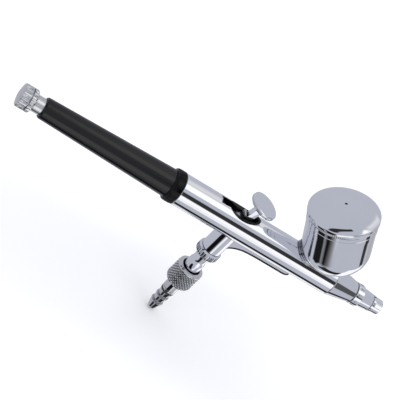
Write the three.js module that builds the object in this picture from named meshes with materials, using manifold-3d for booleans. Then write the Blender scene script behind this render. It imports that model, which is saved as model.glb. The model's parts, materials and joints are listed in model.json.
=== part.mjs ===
// Dual-action airbrush gun: gravity cup, lever trigger, quick-connect air inlet.
// Millimetres. +X points to the nozzle, +Z to the trigger and cup, +Z is up.
// The origin is where the axis of the air valve meets the axis of the barrel.
import * as THREE from "three";
import { mergeVertices } from "three/addons/utils/BufferGeometryUtils.js";
import Module from "manifold-3d";

const wasm = await Module();
wasm.setup();

// ---- driving dimensions ----
const BARREL_R = 6.2;
const BARREL_REAR = -26.35;
const BARREL_FRONT = 44.0;
const BORE_R = 4.0;
const BORE_END = 9.0;
const SPIGOT_R = 4.9;
const SPIGOT_REAR = -35.6;
const SKIN = 0.05;            // clearance kept between pieces that follow each other
const SLOT_REAR = -10.8;
const SLOT_FRONT = 5.4;
const SLOT_HALF = 1.9;
const DISH_FLOOR = 4.75;
const DISH_RADIUS = 18.0;
const DISH_X = -0.8;
const CUP_LEAN = THREE.MathUtils.degToRad(30.65);
const CUP_X = 26.35;
const CUP_Z = 29.0;
const CUP_R = 12.9;
const FEED_X = 34.5;
const VALVE_R = 4.17;
const TRIGGER_LEAN = THREE.MathUtils.degToRad(9.74);
const PIVOT_Z = -3.4;
const AUX_LEAN = THREE.MathUtils.degToRad(17.8);
const AUX_X = -3.3;
const AUX_Z = -2.7;
const NEEDLE_R = 0.6;
const KNOB_REAR = -92.2;
const KNOB_FRONT = -86.5;
const HANDLE_REAR = -83.0;
const HANDLE_FRONT = -30.35;
const CROWN_FRONT = 68.2;

// ---- solids ----
function orient(g) {
  g.deleteAttribute("normal");
  g.deleteAttribute("uv");
  const m = mergeVertices(g, 1e-5);
  const p = m.getAttribute("position");
  const idx = m.index.array;
  const keep = [];
  let volume = 0;
  const a = new THREE.Vector3();
  const b = new THREE.Vector3();
  const c = new THREE.Vector3();
  for (let i = 0; i < idx.length; i += 3) {
    const [u, v, w] = [idx[i], idx[i + 1], idx[i + 2]];
    if (u === v || v === w || w === u) continue;
    keep.push(u, v, w);
    a.fromBufferAttribute(p, u);
    b.fromBufferAttribute(p, v);
    c.fromBufferAttribute(p, w);
    volume += a.dot(b.cross(c));
  }
  if (volume < 0) {
    for (let i = 0; i < keep.length; i += 3) {
      [keep[i + 1], keep[i + 2]] = [keep[i + 2], keep[i + 1]];
    }
  }
  return { positions: new Float32Array(p.array), triangles: new Uint32Array(keep) };
}

function solid(g) {
  const { positions, triangles } = orient(g);
  return new wasm.Manifold(new wasm.Mesh({ numProp: 3, vertProperties: positions, triVerts: triangles }));
}

function geometryOf(body) {
  const mesh = body.getMesh();
  const g = new THREE.BufferGeometry();
  g.setAttribute("position", new THREE.BufferAttribute(Float32Array.from(mesh.vertProperties), 3));
  g.setIndex(new THREE.BufferAttribute(Uint32Array.from(mesh.triVerts), 1));
  g.computeVertexNormals();
  return g;
}

// Ring or solid of revolution from [height, radius] pairs. shape(column, row) scales a radius.
function lathe(profile, segments, shape) {
  const points = profile.map(([h, r]) => new THREE.Vector2(Math.max(r, 0), h));
  const onAxis = profile[0][1] === 0 && profile[profile.length - 1][1] === 0;
  if (!onAxis) points.push(points[0].clone());
  const g = new THREE.LatheGeometry(points, segments);
  if (!shape) return g;
  const p = g.getAttribute("position");
  const rows = points.length;
  for (let i = 0; i < p.count; i += 1) {
    const k = shape(Math.floor(i / rows) % segments, (i % rows) % profile.length);
    p.setX(i, p.getX(i) * k);
    p.setZ(i, p.getZ(i) * k);
  }
  return g;
}

const alongX = (profile, segments, shape) => solid(lathe(profile, segments, shape).rotateZ(-Math.PI / 2));
const alongZ = (profile, segments, shape) => solid(lathe(profile, segments, shape).rotateX(Math.PI / 2));
const alongCup = (profile, segments) => solid(
  lathe(profile, segments).rotateX(Math.PI / 2).rotateY(-CUP_LEAN).translate(CUP_X, 0, CUP_Z));

function rod(x0, x1, r, segments = 24) {
  return alongX([[x0, 0], [x0, r], [x1, r], [x1, 0]], segments);
}

function post(z0, z1, r, segments = 24, x = 0) {
  return solid(lathe([[z0, 0], [z0, r], [z1, r], [z1, 0]], segments).rotateX(Math.PI / 2).translate(x, 0, 0));
}

function crossPin(x, z, r, half, segments = 16) {
  return solid(lathe([[-half, 0], [-half, r], [half, r], [half, 0]], segments).translate(x, 0, z));
}

function block(x0, x1, y0, y1, z0, z1) {
  return solid(new THREE.BoxGeometry(x1 - x0, y1 - y0, z1 - z0)
    .translate((x0 + x1) / 2, (y0 + y1) / 2, (z0 + z1) / 2));
}

// Plate drawn in the X-Z plane, centred on y = 0.
function plate(outline, width) {
  const s = new THREE.Shape(outline.map(([x, z]) => new THREE.Vector2(x, z)));
  const g = new THREE.ExtrudeGeometry(s, { depth: width, bevelEnabled: false, steps: 1, curveSegments: 8 });
  return solid(g.translate(0, 0, -width / 2).rotateX(Math.PI / 2));
}

function ringSeal(axis, at, r, wire, segments = 24) {
  const profile = [];
  for (let i = 0; i < 6; i += 1) {
    const t = (i / 6) * 2 * Math.PI;
    profile.push([at + wire * Math.sin(t), r + wire * Math.cos(t)]);
  }
  return axis === "x" ? alongX(profile, segments) : alongZ(profile, segments);
}

class Helix extends THREE.Curve {
  constructor(axis, from, to, r, turns) {
    super();
    Object.assign(this, { axis, from, to, r, turns });
  }

  getPoint(t, target = new THREE.Vector3()) {
    const a = t * this.turns * 2 * Math.PI;
    const h = this.from + (this.to - this.from) * t;
    const u = this.r * Math.cos(a);
    const v = this.r * Math.sin(a);
    return this.axis === "x" ? target.set(h, u, v) : target.set(u, v, h);
  }
}

function coil(axis, from, to, r, wire, turns, perTurn = 9) {
  const s = new THREE.Shape();
  for (let i = 0; i < 4; i += 1) {
    const t = (i / 4) * 2 * Math.PI;
    if (i === 0) s.moveTo(wire, 0);
    else s.lineTo(wire * Math.cos(t), wire * Math.sin(t));
  }
  s.closePath();
  const inset = Math.sign(to - from) * wire;
  const path = new Helix(axis, from + inset, to - inset, r, turns);
  const steps = Math.round(turns * perTurn);
  return solid(new THREE.ExtrudeGeometry(s, { steps, bevelEnabled: false, extrudePath: path }));
}

const barrelCylinder = (r, x0 = -60, x1 = 80) => rod(x0, x1, r, 32);

// ---- barrel ----
function barrel() {
  let body = alongX([
    [SPIGOT_REAR, BORE_R], [SPIGOT_REAR, SPIGOT_R - 0.2], [SPIGOT_REAR + 0.3, SPIGOT_R],
    [BARREL_REAR, SPIGOT_R], [BARREL_REAR, BARREL_R - 0.2], [BARREL_REAR + 0.2, BARREL_R],
    [BARREL_FRONT - 0.15, BARREL_R], [BARREL_FRONT, BARREL_R - 0.15], [BARREL_FRONT, 3.05],
    [37.6, 3.05], [37.6, 1.3], [16.0, 1.3], [16.0, 2.3], [BORE_END, 2.3], [BORE_END, BORE_R],
  ], 32);
  const dish = solid(lathe([[-8, 0], [-8, DISH_RADIUS], [8, DISH_RADIUS], [8, 0]], 120)
    .translate(DISH_X, 0, DISH_FLOOR + DISH_RADIUS));
  body = body.subtract(dish);
  const mid = block(SLOT_REAR + SLOT_HALF, SLOT_FRONT - SLOT_HALF, -SLOT_HALF, SLOT_HALF, 2, 8);
  body = body.subtract(mid);
  body = body.subtract(post(2, 8, SLOT_HALF, 20, SLOT_REAR + SLOT_HALF));
  body = body.subtract(post(2, 8, SLOT_HALF, 20, SLOT_FRONT - SLOT_HALF));
  body = body.subtract(post(-7, -3, 2.45, 24));
  body = body.subtract(post(0, 7.5, 1.4, 14, FEED_X));
  body = body.subtract(rod(1.2, BARREL_FRONT + 1, 0.45, 8).translate([0, 0, -5.1]));
  body = body.subtract(crossPin(AUX_X, AUX_Z, 0.46, 3.8, 10));
  return body;
}

// Fin under the barrel that the middle finger rests on.
function fingerBrace() {
  const outline = [[2.0, -4.0], [2.0, -12.6], [4.2, -12.3], [5.2, -11.3], [6.7, -10.4], [8.5, -9.75],
    [10.6, -9.35], [15.2, -9.1], [24.7, -9.1], [28.2, -9.1], [29.6, -8.75], [30.7, -7.9], [31.3, -6.5],
    [31.3, -4.0]];
  return plate(outline, 2.4)
    .subtract(barrelCylinder(BARREL_R + SKIN))
    .subtract(post(-20, 0, VALVE_R + SKIN, 24));
}

// ---- cup and lid: heights are measured along the leaning cup axis from the lid rim ----
const BOWL_CURVE = [[-16.5, 12.9], [-17.8, 12.8], [-19.2, 12.5], [-20.6, 11.95], [-22.0, 11.1],
  [-23.3, 10.0], [-24.5, 8.7], [-25.6, 7.1], [-26.5, 5.3], [-27.2, 3.2], [-27.6, 0]];

function grownBowl(step) {
  return alongCup([[-10, 0], [-10, CUP_R + step], ...BOWL_CURVE.map(([h, r]) => (
    r === 0 ? [h - step, 0] : [h - 0.7 * step, r + 0.8 * step]))], 32);
}

function cup() {
  const outer = [[-2.3, 0], [-2.3, 12.95], [-2.45, 13.1], [-3.85, 13.1], [-4.0, 12.95], [-4.15, 13.1],
    [-5.85, 13.1], [-6.0, CUP_R], ...BOWL_CURVE];
  const inner = [[-1.0, 0], [-1.0, 12.15], [-16.0, 12.15], [-18.0, 11.85], [-20.0, 11.1], [-21.8, 10.0],
    [-23.2, 8.6], [-24.4, 6.8], [-25.4, 4.6], [-26.0, 2.3], [-26.2, 0]];
  let body = alongCup(outer, 32);
  for (const [grow, reach] of [[1.2, 0.5], [0.55, 1.2]]) {
    body = body.add(grownBowl(grow).intersect(barrelCylinder(BARREL_R + reach, 10, 43.9)));
  }
  const hollow = alongCup(inner, 28).subtract(barrelCylinder(BARREL_R + 0.75));
  return body.subtract(hollow)
    .subtract(barrelCylinder(BARREL_R + SKIN))
    .subtract(post(-1, 14, 1.4, 14, FEED_X));
}

function lid() {
  return alongCup([[-2.2, 12.0], [-2.2, 13.25], [-2.05, 13.4], [-0.45, 13.4], [0.1, 12.95],
    [1.1, 11.3], [2.1, 8.5], [2.85, 5.2], [3.24, 0.5], [2.3, 0.5], [1.9, 5.2],
    [1.1, 8.6], [-0.1, 11.2], [-5.2, 11.3], [-5.0, 12.0]], 32);
}

// ---- nose ----
function headBody() {
  return alongX([[38.6, 1.25], [38.6, 2.75], [38.8, 2.95], [44.1, 2.95], [44.1, 5.95], [44.3, 6.1],
    [54.55, 4.35], [54.9, 4.1], [54.9, 3.0], [57.6, 3.0], [57.6, 2.0], [49.5, 2.0], [49.5, 1.25]], 28);
}

function headSeal() {
  return alongX([[37.7, 1.35], [37.7, 2.8], [38.5, 2.8], [38.5, 1.35]], 20);
}

function fluidNozzle() {
  return alongX([[49.7, 0.95], [49.7, 1.9], [57.7, 1.9], [64.6, 0.72], [65.2, 0.6], [65.2, 0.36],
    [58.5, 0.95]], 16);
}

function airCap() {
  let body = alongX([[55.05, 3.15], [55.05, 4.3], [55.2, 4.42], [58.2, 4.42], [58.35, 4.3], [58.35, 3.85],
    [63.2, 3.45], [63.45, 3.25], [63.45, 2.15], [64.4, 2.15], [64.4, 1.15], [63.2, 1.25], [61.6, 1.9],
    [58.6, 3.15]], 24);
  for (let i = 0; i < 10; i += 1) {
    const cut = block(55.95, 59, -0.55, 0.55, 4.05, 6).rotate([i * 36 + 18, 0, 0]);
    body = body.subtract(cut);
  }
  return body;
}

function needleCap() {
  let body = alongX([[63.6, 2.3], [63.6, 3.2], [63.75, 3.35], [64.75, 3.35], [64.9, 3.15],
    [CROWN_FRONT - 0.2, 3.05], [CROWN_FRONT, 2.9], [CROWN_FRONT, 2.35]], 24);
  for (let i = 0; i < 2; i += 1) {
    body = body.subtract(block(65.0, 70, -0.5, 0.5, -5, 5).rotate([54 + i * 90, 0, 0]));
  }
  for (let i = 0; i < 8; i += 1) {
    body = body.subtract(block(63, 64.5, -0.3, 0.3, 3.05, 4).rotate([i * 45, 0, 0]));
  }
  return body;
}

// ---- needle line ----
function needle() {
  return alongX([[-60, 0], [-60, NEEDLE_R - 0.15], [-59.8, NEEDLE_R], [57.5, NEEDLE_R], [64.4, 0.26],
    [66.9, 0.06], [66.95, 0]], 12);
}

function packingRing() {
  return alongX([[14.5, 0.7], [14.5, 2.15], [15.9, 2.15], [15.9, 0.7]], 20);
}

function packingScrew() {
  return alongX([[9.7, 0.75], [9.7, 2.0], [9.9, 2.15], [14.3, 2.15], [14.3, 0.75]], 20)
    .subtract(block(9, 10.5, -0.3, 0.3, -3, 3));
}

function chuckGuide() {
  return alongX([[-50.3, 0.7], [-50.3, 1.45], [-50.1, 1.6], [-16.0, 1.6], [-16.0, 2.7], [-14.5, 2.7],
    [-14.5, 1.9], [-6.2, 1.9], [-6.2, 2.75], [-4.1, 2.75], [-4.1, 0.7]], 16);
}

function springCase() {
  return alongX([[-37.2, 1.8], [-37.2, 3.6], [-37.0, 3.8], [-17.0, 3.8], [-17.0, 3.05], [-35.6, 3.05],
    [-35.6, 1.8]], 20);
}

function chuckNut() {
  const grip = (column, row) => (row >= 2 && row <= 5 && column % 2 ? 0.95 : 1);
  return alongX([[-57.0, 0.7], [-57.0, 2.2], [-56.5, 2.7], [-54.0, 2.7], [-53.4, 2.7], [-51.0, 2.7],
    [-50.5, 2.2], [-50.5, 0.7]], 20, grip);
}

// ---- trigger group ----
function tilted(body, lean, x, z) {
  return body.rotate([0, THREE.MathUtils.radToDeg(lean), 0]).translate([x, 0, z]);
}

function trigger() {
  const pad = alongZ([[15.15, 0], [15.15, 5.3], [15.45, 5.75], [15.85, 5.82], [15.95, 5.6], [16.15, 5.6],
    [16.25, 5.82], [16.7, 5.75], [16.93, 5.45], [16.75, 3.2], [16.7, 0]], 28);
  const stem = block(-1.3, 1.3, -1.5, 1.5, 1.5, 15.3);
  const tongue = block(-0.85, 0.85, -0.75, 0.75, 0, 1.7).add(crossPin(0, 0, 0.9, 0.75, 20));
  const slit = block(-3, 3, -0.8, 0.8, 2.35, 6.8);
  const body = pad.add(stem).add(tongue).subtract(slit).subtract(crossPin(0, 0, 0.42, 3));
  return tilted(body, TRIGGER_LEAN, 0, PIVOT_Z);
}

function auxLever() {
  const outline = [[-0.45, 0], [-0.45, 4.4], [-1.9, 5.1], [-2.05, 5.6], [-1.7, 6.1], [-0.45, 6.9],
    [-0.45, 9.1], [-0.25, 9.4], [0.25, 9.4], [0.45, 9.1], [0.45, 0]];
  const body = plate(outline, 3.4).add(crossPin(0, 0, 0.65, 1.7, 20))
    .subtract(block(-4, 3, -0.8, 0.8, 1.9, 3.9))
    .subtract(crossPin(0, 0, 0.44, 3));
  return tilted(body, AUX_LEAN, AUX_X, AUX_Z);
}

const auxPin = () => crossPin(AUX_X, AUX_Z, 0.38, 3.6);
const triggerPin = () => crossPin(0, PIVOT_Z, 0.36, 1.75);

// ---- air valve ----
function valveBody() {
  return alongZ([[-4.0, 2.45], [-7.6, 2.45], [-7.6, 1.7], [-9.9, 1.7], [-9.9, 1.15], [-11.0, 1.15],
    [-11.0, 2.1], [-17.8, 2.1], [-17.8, 2.85], [-17.65, 3.0], [-15.2, 3.0], [-15.2, 4.05],
    [-15.05, VALVE_R], [-4.0, VALVE_R]], 24)
    .subtract(barrelCylinder(BARREL_R + SKIN));
}

function valvePiston() {
  return alongZ([[-2.6, 0], [-2.6, 2.05], [-2.75, 2.2], [-5.2, 2.2], [-5.2, 0.9], [-11.05, 0.9],
    [-11.05, 0]], 16)
    .subtract(block(-3, 3, -0.95, 0.95, -4.5, -2))
    .subtract(crossPin(0, PIVOT_Z, 0.42, 3));
}

const pistonSeal = () => ringSeal("z", -8.8, 1.3, 0.33, 16);

function valvePoppet() {
  return alongZ([[-11.15, 0], [-11.15, 1.4], [-11.55, 1.8], [-12.5, 1.8], [-12.5, 0.6], [-15.6, 0.6],
    [-15.6, 0]], 14);
}

function valveGuide() {
  return alongZ([[-16.7, 0.75], [-16.7, 1.95], [-17.7, 1.95], [-17.7, 0.75]], 14)
    .subtract(block(-3, 3, -0.25, 0.25, -18, -17.3));
}

// ---- quick connector ----
function inletPlug() {
  const teeth = (column, row) => (row >= 2 && row <= 4 && column % 2 ? 0.955 : 1);
  return alongZ([[-15.3, 3.1], [-15.3, 4.3], [-16.0, 4.92], [-17.1, 4.92], [-18.2, 4.92], [-18.7, 4.6],
    [-18.7, 3.3], [-22.4, 2.9], [-24.4, 3.3], [-28.8, 3.3], [-29.0, 2.5], [-29.9, 2.5], [-30.2, 2.1],
    [-31.0, 2.1], [-31.3, 2.5], [-34.0, 2.5], [-34.4, 2.2], [-34.4, 1.2], [-17.95, 1.2], [-17.95, 3.1]],
  32, teeth);
}

function couplerBody() {
  let body = alongZ([[-29.3, 2.65], [-29.3, 3.75], [-35.4, 3.75], [-35.4, 4.25], [-36.3, 4.25],
    [-36.4, 3.0], [-41.5, 3.0], [-41.6, 2.9], [-41.6, 2.0], [-34.9, 2.0], [-34.9, 2.65]], 24);
  for (let i = 0; i < 3; i += 1) {
    const hole = rod(1, 6, 0.9, 10).rotate([0, 0, i * 120]).translate([0, 0, -30.6]);
    body = body.subtract(hole);
  }
  return body;
}

function couplerSleeve() {
  const grid = (column, row) => (row >= 4 && row <= 12 && (column + row) % 2 ? 0.955 : 1);
  const rows = [];
  for (let i = 0; i < 9; i += 1) rows.push([-29.9 - i * 0.76, 5.52]);
  return alongZ([[-27.9, 3.9], [-27.9, 4.9], [-28.3, 5.4], [-29.5, 5.52], ...rows, [-36.5, 5.3],
    [-36.5, 4.4], [-31.6, 4.4], [-31.6, 3.9]], 28, grid);
}

function lockBall(i) {
  const a = (i * 2 * Math.PI) / 3;
  const g = new THREE.SphereGeometry(0.8, 10, 6).rotateX(Math.PI / 2);
  return solid(g.translate(3.0 * Math.cos(a), 3.0 * Math.sin(a), -30.6));
}

const couplerSeal = () => ringSeal("z", -34.66, 2.3, 0.2, 16);

function checkValve() {
  return alongZ([[-35.0, 0], [-35.0, 1.3], [-35.3, 1.7], [-36.4, 1.7], [-36.4, 0.6], [-37.6, 0.6],
    [-37.6, 0]], 14);
}

function hoseTail() {
  return alongZ([[-40.9, 1.0], [-40.9, 1.9], [-41.7, 1.9], [-41.7, 2.95], [-42.5, 2.95], [-42.6, 2.3],
    [-43.3, 2.3], [-43.4, 2.95], [-46.4, 2.15], [-46.7, 2.15], [-46.8, 2.8], [-49.9, 2.05], [-50.1, 2.05],
    [-50.2, 2.75], [-53.9, 1.8], [-54.2, 1.6], [-54.2, 1.0]], 20);
}

// ---- tail ----
function handle() {
  return alongX([[HANDLE_REAR, 3.25], [HANDLE_REAR, 3.75], [HANDLE_REAR + 0.5, 4.05],
    [HANDLE_FRONT - 0.15, 5.42], [HANDLE_FRONT, 5.35], [HANDLE_FRONT, 5.0], [-35.8, 5.0], [-35.8, 3.9],
    [-37.4, 3.9], [-37.4, 3.6], [-73.0, 3.6], [-74.0, 3.25]], 28);
}

function handleCollar() {
  const teeth = (column, row) => (row >= 1 && row <= 3 && column % 2 ? 0.965 : 1);
  return alongX([[-30.2, 5.0], [-30.2, 5.8], [-29.7, 6.25], [-28.9, 6.35], [-26.7, 6.35], [-26.5, 6.1],
    [-26.5, 5.0]], 52, teeth);
}

function presetKnob() {
  const flutes = (column, row) => (row >= 2 && row <= 8 && row !== 5 && row !== 6
    && column % 3 > 1 ? 0.92 : 1);
  return alongX([[KNOB_REAR, 0], [KNOB_REAR, 2.3], [KNOB_REAR + 0.45, 4.1],
    [KNOB_REAR + 0.8, 4.4], [-88.75, 4.4],
    [-88.65, 4.0], [-88.35, 4.0], [-88.25, 4.4], [KNOB_FRONT - 0.35, 4.4], [KNOB_FRONT, 4.0],
    [KNOB_FRONT, 3.1], [-76.2, 3.1], [-76.0, 2.9], [-76.0, 1.15], [-85.2, 1.15], [-85.2, 0]], 42, flutes);
}

const presetStop = () => alongX([[-85.0, 0], [-85.0, 1.0], [-66.2, 1.0], [-66.0, 0.8], [-66.0, 0]], 14);

// ---- assembly ----
const chrome = (rough = 0.08) => ({ color: 0xc9ccd3, metalness: 1.0, roughness: rough });
const steel = { color: 0xa9abb0, metalness: 1.0, roughness: 0.3 };
const brass = { color: 0xc8a45a, metalness: 1.0, roughness: 0.3 };
const black = { color: 0x17171a, metalness: 0.3, roughness: 0.35 };
const rubber = { color: 0x1c1c1c, metalness: 0.0, roughness: 0.8 };
const teflon = { color: 0xeeeeea, metalness: 0.0, roughness: 0.5 };

const PIECES = [
  ["needle_cap", needleCap, chrome()],
  ["air_cap", airCap, chrome()],
  ["fluid_nozzle", fluidNozzle, brass],
  ["head_body", headBody, chrome()],
  ["head_seal", headSeal, teflon],
  ["needle", needle, steel],
  ["packing_ring", packingRing, teflon],
  ["packing_screw", packingScrew, brass],
  ["chuck_guide", chuckGuide, brass],
  ["needle_spring", () => coil("x", -16.1, -35.5, 2.25, 0.28, 8), steel],
  ["spring_case", springCase, brass],
  ["chuck_nut", chuckNut, chrome(0.15)],
  ["barrel", barrel, chrome()],
  ["finger_brace", fingerBrace, chrome()],
  ["cup", cup, chrome()],
  ["cup_lid", lid, chrome()],
  ["trigger", trigger, chrome()],
  ["trigger_pin", triggerPin, steel],
  ["aux_lever", auxLever, steel],
  ["aux_pin", auxPin, steel],
  ["valve_body", valveBody, chrome()],
  ["valve_piston", valvePiston, brass],
  ["piston_seal", pistonSeal, rubber],
  ["valve_poppet", valvePoppet, brass],
  ["valve_spring", () => coil("z", -12.6, -16.6, 1.3, 0.17, 4), steel],
  ["valve_guide", valveGuide, brass],
  ["inlet_plug", inletPlug, chrome()],
  ["coupler_body", couplerBody, chrome(0.15)],
  ["coupler_sleeve", couplerSleeve, chrome(0.2)],
  ["sleeve_spring", () => coil("z", -31.75, -35.25, 4.1, 0.14, 3, 14), steel],
  ["lock_ball_1", () => lockBall(0), steel],
  ["lock_ball_2", () => lockBall(1), steel],
  ["lock_ball_3", () => lockBall(2), steel],
  ["coupler_seal", couplerSeal, rubber],
  ["check_valve", checkValve, brass],
  ["check_spring", () => coil("z", -36.5, -40.7, 1.3, 0.16, 4), steel],
  ["hose_tail", hoseTail, chrome(0.15)],
  ["handle", handle, black],
  ["handle_collar", handleCollar, black],
  ["preset_knob", presetKnob, chrome(0.15)],
  ["preset_stop", presetStop, steel],
];

const group = new THREE.Group();
group.name = "airbrush_gun";
for (const [name, build, look] of PIECES) {
  const mesh = new THREE.Mesh(geometryOf(build()), new THREE.MeshStandardMaterial(look));
  mesh.name = name;
  group.add(mesh);
}

export default group;
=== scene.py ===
# Looks of the airbrush gun: finely turned pieces, finishes, studio cards and camera.
import json
import math

import bmesh
import bpy
import numpy as np
from mathutils import Matrix, Vector


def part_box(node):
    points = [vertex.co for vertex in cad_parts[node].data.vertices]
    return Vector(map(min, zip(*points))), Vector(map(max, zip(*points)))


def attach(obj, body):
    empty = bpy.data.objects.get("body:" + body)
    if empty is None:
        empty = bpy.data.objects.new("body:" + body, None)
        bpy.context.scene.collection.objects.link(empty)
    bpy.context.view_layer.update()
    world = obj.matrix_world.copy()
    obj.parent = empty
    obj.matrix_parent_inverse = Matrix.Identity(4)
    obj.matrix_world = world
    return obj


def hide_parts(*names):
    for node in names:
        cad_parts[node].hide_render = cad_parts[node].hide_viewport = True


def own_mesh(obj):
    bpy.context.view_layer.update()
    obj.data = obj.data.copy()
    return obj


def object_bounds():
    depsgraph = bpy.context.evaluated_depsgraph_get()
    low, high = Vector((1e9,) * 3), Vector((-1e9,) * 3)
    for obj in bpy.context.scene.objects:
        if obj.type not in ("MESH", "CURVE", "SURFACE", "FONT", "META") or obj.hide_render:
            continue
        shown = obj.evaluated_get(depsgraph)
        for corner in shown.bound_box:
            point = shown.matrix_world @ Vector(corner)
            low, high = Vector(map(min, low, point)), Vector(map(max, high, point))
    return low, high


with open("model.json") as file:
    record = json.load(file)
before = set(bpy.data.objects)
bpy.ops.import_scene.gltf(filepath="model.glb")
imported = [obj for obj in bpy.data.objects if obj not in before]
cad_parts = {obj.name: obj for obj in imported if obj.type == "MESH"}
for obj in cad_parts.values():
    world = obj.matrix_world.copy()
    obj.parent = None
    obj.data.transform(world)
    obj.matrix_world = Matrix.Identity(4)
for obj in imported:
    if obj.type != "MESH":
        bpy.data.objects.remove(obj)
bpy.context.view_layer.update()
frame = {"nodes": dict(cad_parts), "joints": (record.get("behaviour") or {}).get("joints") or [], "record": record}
MM = 0.001
AROUND = 192
X = Vector((1, 0, 0))
Y = Vector((0, 1, 0))
Z = Vector((0, 0, 1))


# ---- places taken from the CAD ----
def corners(node):
    lo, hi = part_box(node)
    return lo / MM, hi / MM


def joint(name):
    return next(j for j in frame["joints"] if j["name"] == name)


def spread(node, axis):
    """Lowest and highest reach of a node along an axis, in mm."""
    along = [v.co.dot(axis) / MM for v in frame["nodes"][node].data.vertices]
    return min(along), max(along)


CUP_AXIS = Vector(joint("lid_lift")["axis"]).normalized()
LID_TOP = 3.24


def cup_origin():
    """Point of the cup axis at the lid's rim: the lid turns about that axis."""
    verts = [v.co / MM for v in frame["nodes"]["cup_lid"].data.vertices]
    side = CUP_AXIS.cross(Y)
    reach = [v.dot(side) for v in verts]
    across = (min(reach) + max(reach)) / 2
    top = max(v.dot(CUP_AXIS) for v in verts)
    return side * across + CUP_AXIS * (top - LID_TOP)


CUP_ORIGIN = cup_origin()
BARREL_LO, BARREL_HI = corners("barrel")
BARREL_R = BARREL_HI.y
VALVE_R = corners("valve_body")[1].y
BRACE_HALF = corners("finger_brace")[1].y
SKIN = 0.05
SLOTS = {part["node"]: part["material_slot"] for part in frame["record"]["subparts"]}


# ---- solids: profiles are [height along the axis, radius] in mm ----
def axes(axis):
    a = axis.normalized()
    side = Y.cross(a) if abs(a.dot(Y)) < 0.9 else Z.cross(a)
    side.normalize()
    return a, side, a.cross(side)


def rounded(profile, closed, radius=0.07):
    """Breaks every sharp corner of a profile with a small arc."""
    count = len(profile)
    out = []
    for i, (h, r) in enumerate(profile):
        inner = closed or 0 < i < count - 1
        before = Vector(profile[i - 1])
        here = Vector((h, r))
        after = Vector(profile[(i + 1) % count])
        if not inner or r == 0:
            out.append((h, r))
            continue
        back, ahead = before - here, after - here
        turn = math.pi - back.angle(ahead, math.pi)
        cut = min(radius, 0.35 * back.length, 0.35 * ahead.length)
        if turn < math.radians(22) or cut < 0.004:
            out.append((h, r))
            continue
        a, b = here + back.normalized() * cut, here + ahead.normalized() * cut
        for k in range(4):
            t = k / 3
            out.append(tuple(a * (1 - t) ** 2 + here * (2 * t * (1 - t)) + b * t * t))
    return out


def smooth_curve(points, steps=5):
    """Catmull-Rom curve through the points."""
    pts = [Vector(p) for p in points]
    pts = [2 * pts[0] - pts[1]] + pts + [2 * pts[-1] - pts[-2]]
    out = []
    for i in range(1, len(pts) - 2):
        a, b, c, d = pts[i - 1:i + 3]
        for k in range(steps):
            t = k / steps
            out.append(tuple(0.5 * (2 * b + (c - a) * t + (2 * a - 5 * b + 4 * c - d) * t ** 2
                                    + (3 * b - a - 3 * c + d) * t ** 3)))
    out.append(tuple(pts[-2]))
    return out


def new_object(name, verts, faces):
    mesh = bpy.data.meshes.new(name)
    mesh.from_pydata([tuple(Vector(v) * MM) for v in verts], [], faces)
    bm = bmesh.new()
    bm.from_mesh(mesh)
    bmesh.ops.remove_doubles(bm, verts=bm.verts, dist=1e-7)
    bmesh.ops.recalc_face_normals(bm, faces=bm.faces)
    bm.to_mesh(mesh)
    bm.free()
    obj = bpy.data.objects.new(name, mesh)
    bpy.context.scene.collection.objects.link(obj)
    return obj


def turned(name, profile, axis, origin=Vector(), shape=None, around=AROUND):
    """Solid of revolution. shape(turn, height, radius) gives the radius to use there."""
    closed = profile[0][1] > 0 or profile[-1][1] > 0
    a, side, up = axes(axis)
    verts, faces = [], []
    for h, r in profile:
        for k in range(around):
            turn = k / around
            reach = shape(turn, h, r) if shape else r
            out = side * math.cos(2 * math.pi * turn) + up * math.sin(2 * math.pi * turn)
            verts.append(origin + a * h + out * reach)
    rows = len(profile)
    for i in range(rows if closed else rows - 1):
        j = (i + 1) % rows
        for k in range(around):
            m = (k + 1) % around
            quad = [i * around + k, i * around + m, j * around + m, j * around + k]
            if profile[i][1] == 0:
                quad = [i * around, j * around + m, j * around + k]
            elif profile[j][1] == 0:
                quad = [i * around + k, i * around + m, j * around]
            faces.append(quad)
    return new_object(name, verts, faces)


def box_solid(name, x0, x1, y0, y1, z0, z1):
    verts = [(x, y, z) for x in (x0, x1) for y in (y0, y1) for z in (z0, z1)]
    faces = [(0, 1, 3, 2), (4, 6, 7, 5), (0, 4, 5, 1), (2, 3, 7, 6), (0, 2, 6, 4), (1, 5, 7, 3)]
    return new_object(name, verts, faces)


def keeled_plate(name, curve, top, section):
    """Plate in the X-Z plane, from a lower curve up to the height top.

    section lists (y, how far above the curve), from one side to the other.
    """
    points = [Vector(p) for p in curve]
    n = len(points)
    inward = []
    for i in range(n):
        along = (points[min(i + 1, n - 1)] - points[max(i - 1, 0)]).normalized()
        inward.append(Vector((-along.y, along.x)))
    # averaged over their neighbours, so that the section doesn't fold over itself in a tight bend
    inward = [sum(inward[max(i - 7, 0):i + 8], Vector((0, 0))).normalized() for i in range(n)]
    inward[0], inward[-1] = Vector((0, 1)), Vector((-1, 0))
    points = [Vector((points[0].x, top))] + points + [Vector((points[-1].x, top))]
    inward = [Vector((0, 0))] + inward + [inward[-1]]
    n += 2
    verts = []
    for y, rise in section:
        for p, v in zip(points, inward):
            q = p + v * rise
            verts.append((q.x, y, q.y))
    last = len(section) - 1
    faces = [tuple(range(n)), tuple(range(last * n, last * n + n))]
    for k in range(last):
        for i in range(n):
            j = (i + 1) % n
            faces.append((k * n + i, k * n + j, (k + 1) * n + j, (k + 1) * n + i))
    return new_object(name, verts, faces)


def cylinder(name, h0, h1, r, axis, origin=Vector(), around=AROUND):
    return turned(name, [(h0, 0), (h0, r), (h1, r), (h1, 0)], axis, origin, around=around)


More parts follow.
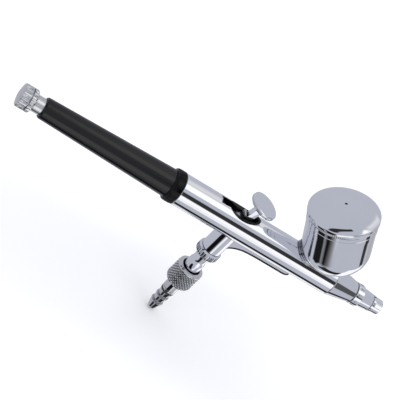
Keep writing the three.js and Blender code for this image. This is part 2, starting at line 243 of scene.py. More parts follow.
def soften(obj, width, angle=40, segments=3):
    """Rounds the sharp edges of a mesh in place."""
    bm = bmesh.new()
    bm.from_mesh(obj.data)
    sharp = [e for e in bm.edges if len(e.link_faces) == 2
             and e.calc_face_angle(0) > math.radians(angle)]
    bmesh.ops.bevel(bm, geom=sharp, offset=width * MM, segments=segments, profile=0.5,
                    affect="EDGES", clamp_overlap=True)
    bm.to_mesh(obj.data)
    bm.free()
    return obj


def combine(obj, other, how):
    cut = obj.modifiers.new("cut", "BOOLEAN")
    cut.operation = how
    cut.solver = "EXACT"
    cut.object = other
    bpy.context.view_layer.update()
    seen = obj.evaluated_get(bpy.context.evaluated_depsgraph_get())
    mesh = bpy.data.meshes.new_from_object(seen)
    obj.modifiers.clear()
    if not mesh.polygons:
        raise RuntimeError(f"{how} left nothing of {obj.name}")
    obj.data = mesh
    bpy.data.objects.remove(other)
    return obj


def minus(obj, *others):
    for other in others:
        combine(obj, other, "DIFFERENCE")


def plus(obj, *others):
    for other in others:
        combine(obj, other, "UNION")


ON_SURFACE = 0.12                        # a face this near to a profile lies on it, in mm
SAME_WAY = math.cos(math.radians(8))     # and it faces the same way within this angle


def column(items, name, width=1, kind=float):
    """One attribute of a mesh's items as an array."""
    values = np.zeros(len(items) * width, kind)
    items.foreach_get(name, values)
    return values.reshape(-1, width) if width > 1 else values


def shade(obj, surfaces=(), angle=32):
    """Smooth shading. surfaces are (axis, origin, profile).

    The faces that lie on one of them get its true normals.
    """
    mesh = obj.data
    mesh.polygons.foreach_set("use_smooth", [True] * len(mesh.polygons))
    mesh.set_sharp_from_angle(angle=math.radians(angle))
    if not surfaces:
        return
    normals = column(mesh.corner_normals, "vector", 3)
    co = column(mesh.vertices, "co", 3) / MM
    corner = column(mesh.loops, "vertex_index", kind=int)
    counts = column(mesh.polygons, "loop_total", kind=int)
    centre = column(mesh.polygons, "center", 3) / MM
    flat = column(mesh.polygons, "normal", 3)
    for axis, origin, profile in surfaces:
        a, base = np.array(axis.normalized()), np.array(origin)
        line = np.array(profile, float)
        step = np.diff(line, axis=0)
        length = np.linalg.norm(step, axis=1)
        across = np.stack([-step[:, 1], step[:, 0]], 1) / length[:, None]

        def split(points):
            rel = points - base
            h = rel @ a
            out = rel - h[:, None] * a
            r = np.linalg.norm(out, axis=1)
            return h, r, out / np.maximum(r, 1e-9)[:, None]

        # the stretch of profile that each face lies on
        h, r, out = split(centre)
        along, outward = flat @ a, np.einsum("ij,ij->i", flat, out)
        best, pick, sign = np.full(len(h), ON_SURFACE), np.full(len(h), -1), np.ones(len(h))
        for i in range(len(step)):
            rel = np.stack([h, r], 1) - line[i]
            t = rel @ step[i] / length[i] ** 2
            gap = np.linalg.norm(rel - np.clip(t, 0, 1)[:, None] * step[i], axis=1)
            facing = along * across[i, 0] + outward * across[i, 1]
            ok = (gap < best) & (np.abs(facing) > SAME_WAY)
            best[ok], pick[ok], sign[ok] = gap[ok], i, np.sign(facing[ok])
        # the profile's normal at each corner of those faces
        which, side = np.repeat(pick, counts), np.repeat(sign, counts)
        vh, vr, vout = split(co[corner])
        smooth = math.cos(math.radians(angle))
        for i in range(len(step)):
            mine = which == i
            if not mine.any():
                continue
            ends = []
            for k, near in ((i, i - 1), (i + 1, i + 1)):
                n = across[i] * length[i] ** 2
                if 0 <= near < len(step) and across[i] @ across[near] > smooth:
                    n = n + across[near] * length[near] ** 2
                ends.append(n / np.linalg.norm(n))
            t = np.clip((np.stack([vh, vr], 1)[mine] - line[i]) @ step[i] / length[i] ** 2, 0, 1)
            n2 = ends[0] * (1 - t)[:, None] + ends[1] * t[:, None]
            n3 = (n2[:, :1] * a + n2[:, 1:] * vout[mine]) * side[mine][:, None]
            keep = vr[mine] > 1e-3
            rows = np.nonzero(mine)[0][keep]
            normals[rows] = n3[keep] / np.linalg.norm(n3[keep], axis=1)[:, None]
    mesh.normals_split_custom_set(normals.tolist())


def place(obj, node):
    """Shows obj in place of a CAD node, with that node's body and finish."""
    slot = SLOTS[node]
    bodies = frame["record"]["behaviour"]["bodies"]
    body = next(b for b, members in bodies.items() if node in members)
    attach(obj, body)
    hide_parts(node)
    obj.data.materials.clear()
    obj.data.materials.append(FINISHES[slot])


def paint_shade_inside(obj, chosen):
    """Gives the near-black inside finish, painted shade, to the faces for which chosen(centre in mm, normal)
    holds.
    """
    obj.data.materials.append(INSIDE_SHADE)
    for face in obj.data.polygons:
        if chosen(face.center / MM, face.normal):
            face.material_index = 1


def near_axis(reach):
    """Chooses the faces nearer to the X axis than reach, in mm."""
    return lambda at, normal: math.hypot(at.y, at.z) < reach


def turned_piece(node, profile, axis, shape=None, around=AROUND, round_by=0.07):
    """A turned piece whose far end is put at the far end of its CAD node."""
    closed = profile[0][1] > 0
    line = rounded(profile, closed, round_by)
    end = spread(node, axis)[1] - max(h for h, _ in profile)
    origin = axis * end
    obj = turned(node + "_looks", line, axis, origin, shape, around)
    path = line + [line[0]] if closed else line
    shade(obj, () if shape else [(axis, origin, path)])
    place(obj, node)


def ridge(value):
    """Triangle wave: 1 at whole numbers, 0 half way between."""
    return abs(value % 1 - 0.5) * 2


def tooth(turn, count, depth, start, steep):
    """Share of the radius left by count grooves of the given depth around a piece."""
    return 1 - depth * max(0, min(1, (ridge(turn * count) - start) * steep))


# ---- finishes ----
def finish(name, color, metallic, rough, rough_var, grain, stretch=(1, 1, 1), bump=0.02, tint=0.03,
           corner_shade=0.35, reach=1.2):
    """A finish whose colour, roughness and relief all vary over the piece, and whose colour is darkened in corners
    and gaps as painted shade.

    corner_shade is how much of the colour is left in a corner as painted shade, and reach is how wide a corner is,
    in mm.
    """
    mat = bpy.data.materials.new(name)
    mat.use_nodes = True
    tree = mat.node_tree
    shader = tree.nodes["Principled BSDF"]
    shader.inputs["Metallic"].default_value = metallic
    where = tree.nodes.new("ShaderNodeTexCoord")
    mapping = tree.nodes.new("ShaderNodeMapping")
    mapping.inputs["Scale"].default_value = stretch
    tree.links.new(where.outputs["Object"], mapping.inputs["Vector"])

    def noise(scale, detail):
        node = tree.nodes.new("ShaderNodeTexNoise")
        node.inputs["Scale"].default_value = scale
        node.inputs["Detail"].default_value = detail
        tree.links.new(mapping.outputs["Vector"], node.inputs["Vector"])
        return node

    def ranged(source, low, high):
        node = tree.nodes.new("ShaderNodeMapRange")
        node.inputs["From Min"].default_value = 0.3
        node.inputs["From Max"].default_value = 0.7
        node.inputs["To Min"].default_value = low
        node.inputs["To Max"].default_value = high
        tree.links.new(source.outputs["Fac"], node.inputs["Value"])
        return node

    fine, broad = noise(grain, 4), noise(grain * 0.12, 2)
    rough_node = ranged(fine, rough - rough_var, rough + rough_var)
    tree.links.new(rough_node.outputs["Result"], shader.inputs["Roughness"])
    ramp = tree.nodes.new("ShaderNodeMix")
    ramp.data_type = "RGBA"
    ramp.inputs[6].default_value = (*[c * (1 - tint) for c in color], 1)
    ramp.inputs[7].default_value = (*[min(1, c * (1 + tint)) for c in color], 1)
    tree.links.new(ranged(broad, 0, 1).outputs["Result"], ramp.inputs[0])
    # painted shade: ambient occlusion darkens the base colour in corners, creases, grooves and gaps
    occlusion_shade = tree.nodes.new("ShaderNodeAmbientOcclusion")
    occlusion_shade.samples = 8
    occlusion_shade.inputs["Distance"].default_value = reach * MM
    painted_shade = tree.nodes.new("ShaderNodeMapRange")
    painted_shade.inputs["From Min"].default_value = 0.25
    painted_shade.inputs["From Max"].default_value = 0.85
    painted_shade.inputs["To Min"].default_value = corner_shade
    tree.links.new(occlusion_shade.outputs["AO"], painted_shade.inputs["Value"])
    shaded_color = tree.nodes.new("ShaderNodeVectorMath")
    shaded_color.operation = "SCALE"
    tree.links.new(ramp.outputs[2], shaded_color.inputs[0])
    tree.links.new(painted_shade.outputs["Result"], shaded_color.inputs["Scale"])
    tree.links.new(shaded_color.outputs["Vector"], shader.inputs["Base Color"])
    relief = tree.nodes.new("ShaderNodeBump")
    relief.inputs["Strength"].default_value = bump
    relief.inputs["Distance"].default_value = 0.00002
    tree.links.new(fine.outputs["Fac"], relief.inputs["Height"])
    tree.links.new(relief.outputs["Normal"], shader.inputs["Normal"])
    return mat


# corner_shade sets how dark each finish is painted in its corners, as painted shade
LOOKS = {
    "polished_chrome": dict(color=(0.86, 0.87, 0.91), metallic=1, rough=0.035, rough_var=0.012,
                            grain=700, tint=0.012, bump=0.01),
    "satin_chrome": dict(color=(0.72, 0.72, 0.73), metallic=1, rough=0.12, rough_var=0.03,
                         grain=900, bump=0.03, corner_shade=0.1),
    "black_handle": dict(color=(0.0009, 0.0009, 0.001), metallic=0, rough=0.14, rough_var=0.02,
                         grain=1500, bump=0.03, tint=0.2),
    "steel": dict(color=(0.62, 0.63, 0.65), metallic=1, rough=0.25, rough_var=0.06,
                  grain=1500, stretch=(0.2, 1, 1), bump=0.08, corner_shade=0.12, reach=6),
    "brass": dict(color=(0.66, 0.47, 0.2), metallic=1, rough=0.24, rough_var=0.05,
                  grain=1200, stretch=(0.2, 1, 1), bump=0.06, corner_shade=0.04, reach=8),
    "white_seal": dict(color=(0.85, 0.85, 0.82), metallic=0, rough=0.5, rough_var=0.08,
                       grain=800, bump=0.1),
    "black_rubber": dict(color=(0.02, 0.02, 0.02), metallic=0, rough=0.75, rough_var=0.08,
                         grain=1200, bump=0.2),
}
FINISHES = {name: finish(name, **look) for name, look in LOOKS.items()}
# near-black finish for bores, slot walls and hollows: painted shade where light doesn't reach
INSIDE_SHADE = finish("bore_painted_shade", (0.035, 0.034, 0.034), 1, 0.42, 0.08, 900, bump=0.1)

for name, node in frame["nodes"].items():
    node.data.materials.clear()
    node.data.materials.append(FINISHES[SLOTS[name]])
    shade(node, angle=35)


# ---- barrel and finger brace ----
SLOT_REAR, SLOT_FRONT, SLOT_HALF = -10.8, 5.4, 1.9
DISH_X, DISH_FLOOR, DISH_RADIUS = -0.8, 4.75, 18.0
BORE_R, SPIGOT_R, SHOULDER = 4.0, 4.9, -26.35
SHADED_BORE_R = 4.6                           # faces nearer to the axis than this are inside the barrel and get painted shade
FEED_AT, FEED_R = Vector((34.5, 0, 0)), 1.4


def barrel():
    rear, front = BARREL_LO.x, BARREL_HI.x
    outer = [(rear, BORE_R), (rear, SPIGOT_R - 0.2), (rear + 0.3, SPIGOT_R), (SHOULDER, SPIGOT_R),
             (SHOULDER, BARREL_R - 0.2), (SHOULDER + 0.2, BARREL_R)]
    body_rows = [(SHOULDER + 0.2 + i, BARREL_R) for i in range(1, int(front - SHOULDER - 0.5))]
    nose = [(front - 0.15, BARREL_R), (front, BARREL_R - 0.15), (front, 3.05), (37.6, 3.05),
            (37.6, 1.3), (16, 1.3), (16, 2.3), (9, 2.3), (9, BORE_R)]
    profile = outer + body_rows + nose
    obj = turned("barrel_looks", profile, X)
    dish_at = Vector((DISH_X, 0, DISH_FLOOR + DISH_RADIUS))
    dish = cylinder("dish", -8, 8, DISH_RADIUS, Y, dish_at, 720)
    ends = [cylinder("slot_end", 2, 8, SLOT_HALF, Z, Vector((x, 0, 0)), 96)
            for x in (SLOT_REAR + SLOT_HALF, SLOT_FRONT - SLOT_HALF)]
    mid = box_solid("slot", SLOT_REAR + SLOT_HALF, SLOT_FRONT - SLOT_HALF,
                    -SLOT_HALF, SLOT_HALF, 2, 8)
    valve_hole = cylinder("valve_hole", -7, -3, 2.45, Z, around=64)
    feed = cylinder("feed", 0, 7.5, FEED_R, Z, FEED_AT, 48)
    minus(obj, dish, mid, *ends, valve_hole, feed)
    bore = [(9, BORE_R), (rear, BORE_R)]
    shade(obj, [(X, Vector(), profile), (X, Vector(), bore),
                (Y, dish_at, [(-8, DISH_RADIUS), (8, DISH_RADIUS)])])
    place(obj, "barrel")
    # the bore, slot walls and dish get the near-black painted shade
    paint_shade_inside(obj, shaded_in_barrel)


def shaded_in_barrel(at, normal):
    """Chooses the faces of the bore, the slot's walls and the dish, which get painted shade."""
    bore = math.hypot(at.y, at.z) < SHADED_BORE_R and at.x < BARREL_HI.x - 2
    slot = (abs(at.y) < SLOT_HALF + 0.03 and at.z > 2
            and SLOT_REAR - 0.1 < at.x < SLOT_FRONT + 0.1)
    out = Vector((at.x - DISH_X, 0, at.z - DISH_FLOOR - DISH_RADIUS))
    dish = out.length < DISH_RADIUS + 0.05 and abs(normal.dot(out.normalized())) > 0.995
    return bore or slot or dish


def finger_brace():
    curve = smooth_curve([(2.0, -12.6), (4.2, -12.3), (5.2, -11.3), (6.7, -10.4), (8.5, -9.75),
                          (10.6, -9.35), (15.2, -9.1), (24.7, -9.1), (28.2, -9.1), (29.6, -8.75),
                          (30.7, -7.9), (31.3, -6.5)], 6)
    flank = [(BRACE_HALF, 1.5), (BRACE_HALF - 0.07, 1.2), (BRACE_HALF - 0.18, 0.85),
             (BRACE_HALF - 0.31, 0.5), (BRACE_HALF - 0.46, 0.15), (BRACE_HALF - 0.65, 0.03),
             (BRACE_HALF - 0.9, 0.0)]
    section = [(-y, rise) for y, rise in flank] + flank[::-1]
    obj = keeled_plate("finger_brace_looks", curve, -4.0, section)
    minus(obj, cylinder("barrel_cut", -40, 60, BARREL_R + SKIN, X),
          cylinder("valve_cut", -20, 0, VALVE_R + SKIN, Z))
    shade(obj)
    place(obj, "finger_brace")


# ---- cup and lid ----
CUP_R = 12.9
BOWL = smooth_curve([(-16.5, 12.9), (-17.8, 12.8), (-19.2, 12.5), (-20.6, 11.95), (-22.0, 11.1),
                     (-23.3, 10.0), (-24.5, 8.7), (-25.6, 7.1), (-26.5, 5.3), (-27.2, 3.2)], 4)
BOWL = BOWL + [(-27.5, 1.6), (-27.6, 0)]


def grown_bowl(step):
    grown = [(h - step, 0) if r == 0 else (h - 0.7 * step, r + 0.8 * step) for h, r in BOWL]
    return turned("grown", [(-10, 0), (-10, CUP_R + step)] + grown, CUP_AXIS, CUP_ORIGIN)


def cup():
    rim = [(-2.3, 12.95), (-2.45, 13.1), (-3.85, 13.1), (-4.0, 12.95), (-4.15, 13.1), (-5.85, 13.1),
           (-6.0, CUP_R)]
    wall = [(-7 - i, CUP_R) for i in range(9)]
    inner = smooth_curve([(-26.0, 2.3), (-25.4, 4.6), (-24.4, 6.8), (-23.2, 8.6), (-21.8, 10.0),
                          (-20.0, 11.1), (-18.0, 11.85), (-16.0, 12.15)], 3)
    outside = rim + wall + BOWL
    obj = turned("cup_looks", [(-2.3, 0)] + outside, CUP_AXIS, CUP_ORIGIN)
    # the fillet where the bowl is soldered to the barrel, in two steps
    for grow, reach in ((1.2, 0.5), (0.55, 1.2)):
        fillet = combine(grown_bowl(grow),
                         cylinder("around", 10, 43.9, BARREL_R + reach, X), "INTERSECT")
        plus(obj, fillet)
    hollow = turned("hollow", [(-26.2, 0)] + inner + [(-1.0, 12.15), (-1.0, 0)],
                    CUP_AXIS, CUP_ORIGIN)
    minus(hollow, cylinder("floor", -10, 70, BARREL_R + 0.75, X))
    minus(obj, hollow, cylinder("barrel_cut", -40, 80, BARREL_R + SKIN, X),
          cylinder("feed", -1, 14, FEED_R, Z, FEED_AT, 48))
    shade(obj, [(CUP_AXIS, CUP_ORIGIN, outside), (CUP_AXIS, CUP_ORIGIN, inner + [(-1.0, 12.15)])])
    place(obj, "cup")


def cup_lid():
    dome = smooth_curve([(-0.2, 13.25), (0.1, 12.95), (1.1, 11.3), (2.1, 8.5), (2.85, 5.2),
                         (3.2, 1.8)], 6)
    rim = [(-2.2, 12.0), (-2.2, 13.25), (-2.05, 13.4), (-1.5, 13.4), (-1.2, 13.4), (-0.45, 13.4)]
    under = [(LID_TOP, 0.55), (LID_TOP - 0.1, 0.5), (2.3, 0.5), (1.9, 5.2), (1.1, 8.6),
             (-0.1, 11.2), (-5.2, 11.3), (-5.0, 12.0)]
    profile = rim + dome + under

    def serrated(turn, h, r):
        return r - 0.16 * ridge(turn * 110) if -2.5 < h < -1.3 and r > 13 else r

    obj = turned("cup_lid_looks", profile, CUP_AXIS, CUP_ORIGIN, serrated, 880)
    shade(obj, [(CUP_AXIS, CUP_ORIGIN, [(-1.2, 13.4), (-0.45, 13.4)] + dome)])
    place(obj, "cup_lid")


# ---- trigger ----
def trigger():
    lean = math.radians(9.74)
    pad_profile = rounded([(15.15, 0), (15.15, 5.3), (15.45, 5.75), (15.85, 5.82), (15.95, 5.6),
                           (16.15, 5.6), (16.25, 5.82), (16.7, 5.75), (16.93, 5.45), (16.75, 3.2),
                           (16.7, 0)], False, 0.08)
    obj = turned("trigger_looks", pad_profile, Z, around=160)
    stem = soften(box_solid("stem", -1.3, 1.3, -1.5, 1.5, 1.5, 15.3), 0.18)
    tongue = box_solid("tongue", -0.85, 0.85, -0.75, 0.75, 0, 1.7)
    plus(obj, stem, tongue, cylinder("eye", -0.75, 0.75, 0.9, Y, around=48))
    minus(obj, soften(box_solid("slit", -3, 3, -0.8, 0.8, 2.35, 6.8), 0.1),
          cylinder("pin_hole", -3, 3, 0.42, Y, around=48))
    pivot = Vector(joint("trigger_tilt")["pos_m"]) / MM
    shade(obj, [(Z, Vector(), pad_profile)])
    turn = Matrix.Rotation(lean, 4, "Y")
    obj.data.transform(Matrix.Translation(pivot * MM) @ turn)
    place(obj, "trigger")


# ---- air valve and quick connector ----
def valve_body():
    bore = [(-4.0, 2.45), (-7.6, 2.45), (-7.6, 1.7), (-9.9, 1.7), (-9.9, 1.15), (-11.0, 1.15),
            (-11.0, 2.1), (-17.8, 2.1)]
    foot = [(-17.8, 2.85), (-17.65, 3.0), (-15.2, 3.0), (-15.2, 4.05), (-15.05, VALVE_R)]
    wall = [(-14.0 + i, VALVE_R) for i in range(10)] + [(-4.0, VALVE_R)]
    profile = rounded(bore + foot + wall, True, 0.08)
    obj = turned("valve_body_looks", profile, Z)
    minus(obj, cylinder("barrel_cut", -30, 30, BARREL_R + SKIN, X))
    shade(obj, [(Z, Vector(), profile + [profile[0]])])
    place(obj, "valve_body")


def inlet_plug():
    def teeth(turn, h, r):
        on_ring = -18.2 <= h <= -16.0 and r > 4.5
        return r * tooth(turn, 32, 0.085, 0.3, 4) if on_ring else r

    ring = [(-16.0, 4.92), (-16.5, 4.92), (-17.1, 4.92), (-17.7, 4.92), (-18.2, 4.92)]
    waist = smooth_curve([(-18.9, 3.3), (-20.6, 3.12), (-22.4, 2.9), (-23.4, 3.05),
                          (-24.4, 3.3)], 6)
    profile = [(-15.3, 3.1), (-15.3, 4.3)] + ring + [(-18.7, 4.6), (-18.7, 3.35)] + waist
    profile += [(-28.8, 3.3), (-29.0, 2.5), (-29.9, 2.5), (-30.2, 2.1), (-31.0, 2.1), (-31.3, 2.5),
                (-34.0, 2.5), (-34.4, 2.2), (-34.4, 1.2), (-17.95, 1.2), (-17.95, 3.1)]
    turned_piece("inlet_plug", profile, Z, teeth, 384)


def coupler_sleeve():
    top, bottom, pitch, count, depth = -28.75, -35.98, 1.4, 26, 0.55

    def knurl(turn, h, r):
        if not (bottom < h < top and r > 5):
            return r
        u = turn * count + (h - top) / pitch
        v = turn * count - (h - top) / pitch
        groove = max(0, (max(ridge(u), ridge(v)) - 0.25) / 0.75)
        fade = min(1, (top - h) / 0.2, (h - bottom) / 0.2)
        return r - depth * groove * fade

    rows = [(top + (bottom - top) * i / 80, 5.4 + min(0.1, 0.03 * i)) for i in range(81)]
    profile = [(-27.9, 3.9), (-27.9, 4.85), (-28.0, 4.95), (-28.3, 5.35), (-28.45, 5.4)] + rows
    profile += [(-36.5, 5.3), (-36.5, 4.4), (-31.6, 4.4), (-31.6, 3.9)]
    obj = turned("coupler_sleeve_looks", profile, Z, shape=knurl, around=count * 16)
    shade(obj, angle=40)
    place(obj, "coupler_sleeve")


def hose_side():
    body = [(-29.3, 2.65), (-29.3, 3.75), (-35.4, 3.75), (-35.4, 4.25), (-36.3, 4.25), (-36.4, 3.0),
            (-41.5, 3.0), (-41.6, 2.9), (-41.6, 2.0), (-34.9, 2.0), (-34.9, 2.65)]
    obj = turned("coupler_body_looks", rounded(body, True), Z)
    for i in range(3):
        out = Matrix.Rotation(i * 2 * math.pi / 3, 3, "Z") @ X
        minus(obj, cylinder("ball_hole", 1, 6, 0.9, out, Vector((0, 0, -30.6)), 48))
    shade(obj, [(Z, Vector(), body + [body[0]])])
    place(obj, "coupler_body")
    tail = [(-40.9, 1.0), (-40.9, 1.9), (-41.7, 1.9), (-41.7, 2.95), (-42.5, 2.95), (-42.6, 2.3),
            (-43.3, 2.3), (-43.4, 2.95), (-46.4, 2.15), (-46.7, 2.15), (-46.8, 2.8), (-49.9, 2.05),
            (-50.1, 2.05), (-50.2, 2.75), (-53.9, 1.8), (-54.2, 1.6), (-54.2, 1.0)]
    turned_piece("hose_tail", tail, Z)


# ---- nose ----
def nose():
    head = [(38.6, 1.25), (38.6, 2.75), (38.8, 2.95), (44.1, 2.95), (44.1, 5.95), (44.3, 6.1),
            (54.55, 4.35), (54.9, 4.1), (54.9, 3.0), (57.6, 3.0), (57.6, 2.0), (49.5, 2.0),
            (49.5, 1.25)]
    turned_piece("head_body", head, X)
    nozzle = [(49.7, 0.95), (49.7, 1.9), (57.7, 1.9), (64.6, 0.72), (65.2, 0.6), (65.2, 0.36),
              (58.5, 0.95)]
    turned_piece("fluid_nozzle", nozzle, X, around=96)
    cap = rounded([(55.05, 3.15), (55.05, 4.3), (55.2, 4.42), (58.2, 4.42), (58.35, 4.3),
                   (58.35, 3.85), (63.2, 3.45), (63.45, 3.25), (63.45, 2.15), (64.4, 2.15),
                   (64.4, 1.15), (63.2, 1.25), (61.6, 1.9), (58.6, 3.15)], True)
    obj = turned("air_cap_looks", cap, X)
    for i in range(10):
        cut = soften(box_solid("cap_slot", 55.95, 59, -0.55, 0.55, 4.05, 6), 0.12)
        cut.data.transform(Matrix.Rotation(math.radians(i * 36 + 18), 4, "X"))
        minus(obj, cut)
    shade(obj, [(X, Vector(), cap + [cap[0]])])
    place(obj, "air_cap")
    # the air cap's inside gets the near-black painted shade
    paint_shade_inside(obj, near_axis(2.6))
    end = corners("needle_cap")[1].x
    crown = rounded([(63.6, 2.3), (63.6, 3.2), (63.75, 3.35), (64.75, 3.35), (64.9, 3.15),
                     (end - 0.2, 3.05), (end, 2.9), (end, 2.35)], True, 0.05)
    obj = turned("needle_cap_looks", crown, X)
    for i in range(2):
        cut = box_solid("crown_slot", 65.0, 70, -0.5, 0.5, -5, 5)
        cut.data.transform(Matrix.Rotation(math.radians(54 + i * 90), 4, "X"))
        minus(obj, cut)
    for i in range(8):
        cut = box_solid("notch", 63, 64.5, -0.3, 0.3, 3.05, 4)
        cut.data.transform(Matrix.Rotation(math.radians(i * 45), 4, "X"))
        minus(obj, cut)
    shade(obj, [(X, Vector(), crown + [crown[0]])])
    place(obj, "needle_cap")
    # the needle cap's inside gets the near-black painted shade
    paint_shade_inside(obj, near_axis(2.8))


# ---- springs ----
def spring(node, axis, radius, wire, turns):
    """Round-wire coil between the ends of its CAD node.

    wire is the wire's radius.
    """
    ends = spread(node, axis)
    low, high = ends[0] + wire, ends[1] - wire
    a, side, up = axes(axis)
    steps, ring = int(turns * 48), 12
    verts, faces = [], []
    slope = (high - low) / (2 * math.pi * turns * radius)
    for i in range(steps + 1):
        turn = 2 * math.pi * turns * i / steps
        out = side * math.cos(turn) + up * math.sin(turn)
        along = (up * math.cos(turn) - side * math.sin(turn) + a * slope).normalized()
        across = along.cross(out)
        middle = a * (low + (high - low) * i / steps) + out * radius
        for k in range(ring):
            t = 2 * math.pi * k / ring
            verts.append(middle + out * wire * math.cos(t) + across * wire * math.sin(t))
    for i in range(steps):
        for k in range(ring):
            m = (k + 1) % ring
            faces.append((i * ring + k, i * ring + m, (i + 1) * ring + m, (i + 1) * ring + k))
    faces += [tuple(range(ring)), tuple(range(steps * ring, steps * ring + ring))]
    obj = new_object(node + "_looks", verts, faces)
    shade(obj)
    place(obj, node)
    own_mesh(obj)


def springs():
    spring("needle_spring", X, 2.25, 0.28, 8)
    spring("valve_spring", Z, 1.3, 0.17, 4)
    spring("sleeve_spring", Z, 4.1, 0.14, 3)


# ---- tail ----
def tail():
    rear, front = (c.x for c in corners("handle"))
    grip = [(rear, 3.25), (rear, 3.75), (rear + 0.5, 4.05), (front - 0.15, 5.42), (front, 5.35),
            (front, 5.0), (-35.8, 5.0), (-35.8, 3.9), (-37.4, 3.9), (-37.4, 3.6), (-73.0, 3.6),
            (-74.0, 3.25)]
    turned_piece("handle", grip, X, round_by=0.12)

    def coin(turn, h, r):
        return r * tooth(turn, 44, 0.08, 0.25, 2.2) if r > 6.2 else r

    ring = [(-30.2, 5.0), (-30.2, 5.8), (-29.7, 6.25), (-28.9, 6.35), (-27.8, 6.35), (-26.7, 6.35),
            (-26.5, 6.1), (-26.5, 5.0)]
    turned_piece("handle_collar", ring, X, coin, 440)

    def flutes(turn, h, r):
        if r < 4.2 or -88.8 < h < -88.2:
            return r
        wave = 0.5 + 0.5 * math.cos(2 * math.pi * turn * 14)
        return r * (1 - 0.11 * wave ** 2)

    back = corners("preset_knob")[0].x
    knob = [(back, 0), (back, 2.3), (back + 0.45, 4.1), (back + 0.8, 4.4), (-90.5, 4.4),
            (-89.4, 4.4), (-88.75, 4.4), (-88.65, 4.0), (-88.35, 4.0), (-88.25, 4.4), (-87.4, 4.4),
            (-86.85, 4.4), (-86.5, 4.0), (-86.5, 3.1), (-76.2, 3.1), (-76.0, 2.9), (-76.0, 1.15),
            (-85.2, 1.15), (-85.2, 0)]
    obj = turned("preset_knob_looks", knob, X, shape=flutes, around=336)
    shade(obj, angle=35)
    place(obj, "preset_knob")


# ---- studio ----
BACK = Vector((-0.35193, -0.76304, 0.54215))
RIGHT = Vector((0.80375, 0.05050, 0.59282))
UP = Vector((-0.47972, 0.64438, 0.59552))
CAMERA_AT = Vector((-0.16705, -0.32540, 0.23163))
LENS = 107.3
ROOM = (0.51, 0.525, 0.585)
# Softboxes and flags around the object: degrees right of and above the camera, half width, half
# height, roll, softness of the edge, brightness.
CARDS = (
    (-170, -36, 8, 13, 0, 4, 1.0),        # rim softbox behind, low
    (155, -45, 16, 18, 0, 3, 1.1),        # rim softbox, right
    (160, -18, 30, 6, 0, 6, 0.45),        # grey edge above it
    (-84, -56, 12, 12, -30, 16, 0.13),    # soft grey below the far left flag
    (-103, -36, 9, 10, -25, 4, 0.012),    # black flag, far left and low
    (-130, -13, 15, 6, -32, 3, 0.012),    # black flag behind the left side
    (-63, -38, 12, 25, -16, 5, 0.006),    # black flag beside the valve
    (-155, -61, 20, 10, 0, 3, 0.02),      # black flag under the barrel
    (-131, -54, 5, 7, 0, 2, 0.02),        # its step
    (35, -34, 7, 12, -12, 4, 0.035),      # dark flag, right and low
    (64, -42, 5, 17, 0, 5, 0.09),         # second dark flag
    (3, 38, 22, 6, 14, 3, 0.03),          # narrow flag above the camera
    (125, -32, 4, 6, 0, 3, 0.04),         # thin flag, far right
    (56, 12, 12, 17, -28, 7, 1.15),       # key softbox
    (88, 35, 20, 7, 0, 12, 0.78),         # its upper wing
    (18, -62, 17, 15, 0, 4, 1.1),         # table softbox
    (-10, -72, 16, 6, 0, 4, 1.0),         # table softbox, left half
)


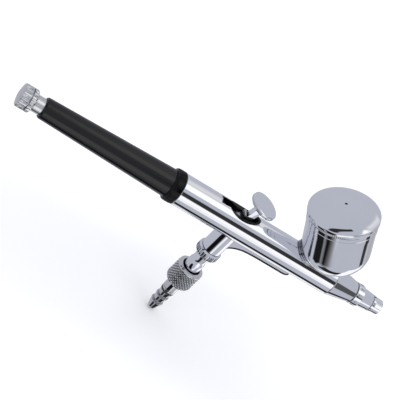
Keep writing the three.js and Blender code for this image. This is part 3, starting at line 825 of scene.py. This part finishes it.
def cards():
    """The world: an even room with the cards in front of it, each over the ones before."""
    world = bpy.data.worlds.new("studio")
    bpy.context.scene.world = world
    world.use_nodes = True
    tree = world.node_tree
    sky = tree.nodes["Background"]
    ray = tree.nodes.new("ShaderNodeTexCoord").outputs["Generated"]

    def math_node(how, a, b=None):
        node = tree.nodes.new("ShaderNodeMath")
        node.operation = how
        for i, value in enumerate((a, b)):
            if isinstance(value, (int, float)):
                node.inputs[i].default_value = value
            elif value is not None:
                tree.links.new(value, node.inputs[i])
        return node.outputs[0]

    def dot(direction):
        node = tree.nodes.new("ShaderNodeVectorMath")
        node.operation = "DOT_PRODUCT"
        node.inputs[1].default_value = direction
        tree.links.new(ray, node.inputs[0])
        return node.outputs["Value"]

    def inside(angle, half, soft):
        node = tree.nodes.new("ShaderNodeMapRange")
        node.interpolation_type = "SMOOTHSTEP"
        node.inputs["From Min"].default_value = math.radians(half + soft / 2)
        node.inputs["From Max"].default_value = math.radians(half - soft / 2)
        tree.links.new(math_node("ABSOLUTE", angle), node.inputs["Value"])
        return node.outputs["Result"]

    color = None
    for lon, lat, wide, high, roll, soft, light in CARDS:
        lo, la = math.radians(lon), math.radians(lat)
        flat = BACK * math.cos(lo) + RIGHT * math.sin(lo)
        middle = flat * math.cos(la) + UP * math.sin(la)
        side = RIGHT * math.cos(lo) - BACK * math.sin(lo)
        top = middle.cross(side)
        turn = Matrix.Rotation(math.radians(roll), 3, middle)
        side, top = turn @ side, turn @ top
        across = math_node("ARCTAN2", dot(side), dot(middle))
        upward = math_node("ARCSINE", dot(top))
        mask = math_node("MULTIPLY", inside(across, wide, soft), inside(upward, high, soft))
        mix = tree.nodes.new("ShaderNodeMix")
        mix.data_type = "RGBA"
        if color is None:
            mix.inputs[6].default_value = (*ROOM, 1)
        else:
            tree.links.new(color, mix.inputs[6])
        mix.inputs[7].default_value = (light, light, light, 1)
        tree.links.new(mask, mix.inputs[0])
        color = mix.outputs[2]
    tree.links.new(color, sky.inputs["Color"])


FLOOR_HALF = 3000.0                      # mm
FLOOR_GAP = 1                            # below the lowest point of the object, mm


def floor_and_lamp():
    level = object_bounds()[0][2] / MM - FLOOR_GAP
    ends = ((-1, -1), (1, -1), (1, 1), (-1, 1))
    floor = new_object("floor", [(x * FLOOR_HALF, y * FLOOR_HALF, level) for x, y in ends],
                       [(0, 1, 2, 3)])
    paper = bpy.data.materials.new("paper")
    paper.use_nodes = True
    shader = paper.node_tree.nodes["Principled BSDF"]
    shader.inputs["Base Color"].default_value = (0.92, 0.92, 0.92, 1)
    shader.inputs["Roughness"].default_value = 0.9
    shader.inputs["Emission Color"].default_value = (1, 1, 1, 1)
    shader.inputs["Emission Strength"].default_value = 0.2
    floor.data.materials.append(paper)
    floor.visible_glossy = False
    lamp = bpy.data.lights.new("top_soft", "AREA")
    lamp.size = 1.6
    lamp.energy = 12
    top_light = bpy.data.objects.new("top_soft", lamp)
    top_light.location = (0, 0, 1.4)
    top_light.visible_glossy = False
    bpy.context.scene.collection.objects.link(top_light)


def camera():
    lens = bpy.data.cameras.new("camera")
    lens.lens = LENS
    lens.sensor_width = 36
    lens.clip_start = 0.01
    lens.clip_end = 100
    lens.dof.use_dof = False
    eye = bpy.data.objects.new("camera", lens)
    right = RIGHT.normalized()
    back = (BACK - right * BACK.dot(right)).normalized()
    up = back.cross(right)
    eye.matrix_world = Matrix((
        (right.x, up.x, back.x, CAMERA_AT.x), (right.y, up.y, back.y, CAMERA_AT.y),
        (right.z, up.z, back.z, CAMERA_AT.z), (0, 0, 0, 1)))
    bpy.context.scene.collection.objects.link(eye)
    bpy.context.scene.camera = eye


barrel()
finger_brace()
cup()
cup_lid()
trigger()
valve_body()
inlet_plug()
coupler_sleeve()
hose_side()
nose()
springs()
tail()
cards()
floor_and_lamp()
camera()
bpy.context.scene.view_settings.view_transform = "Standard"
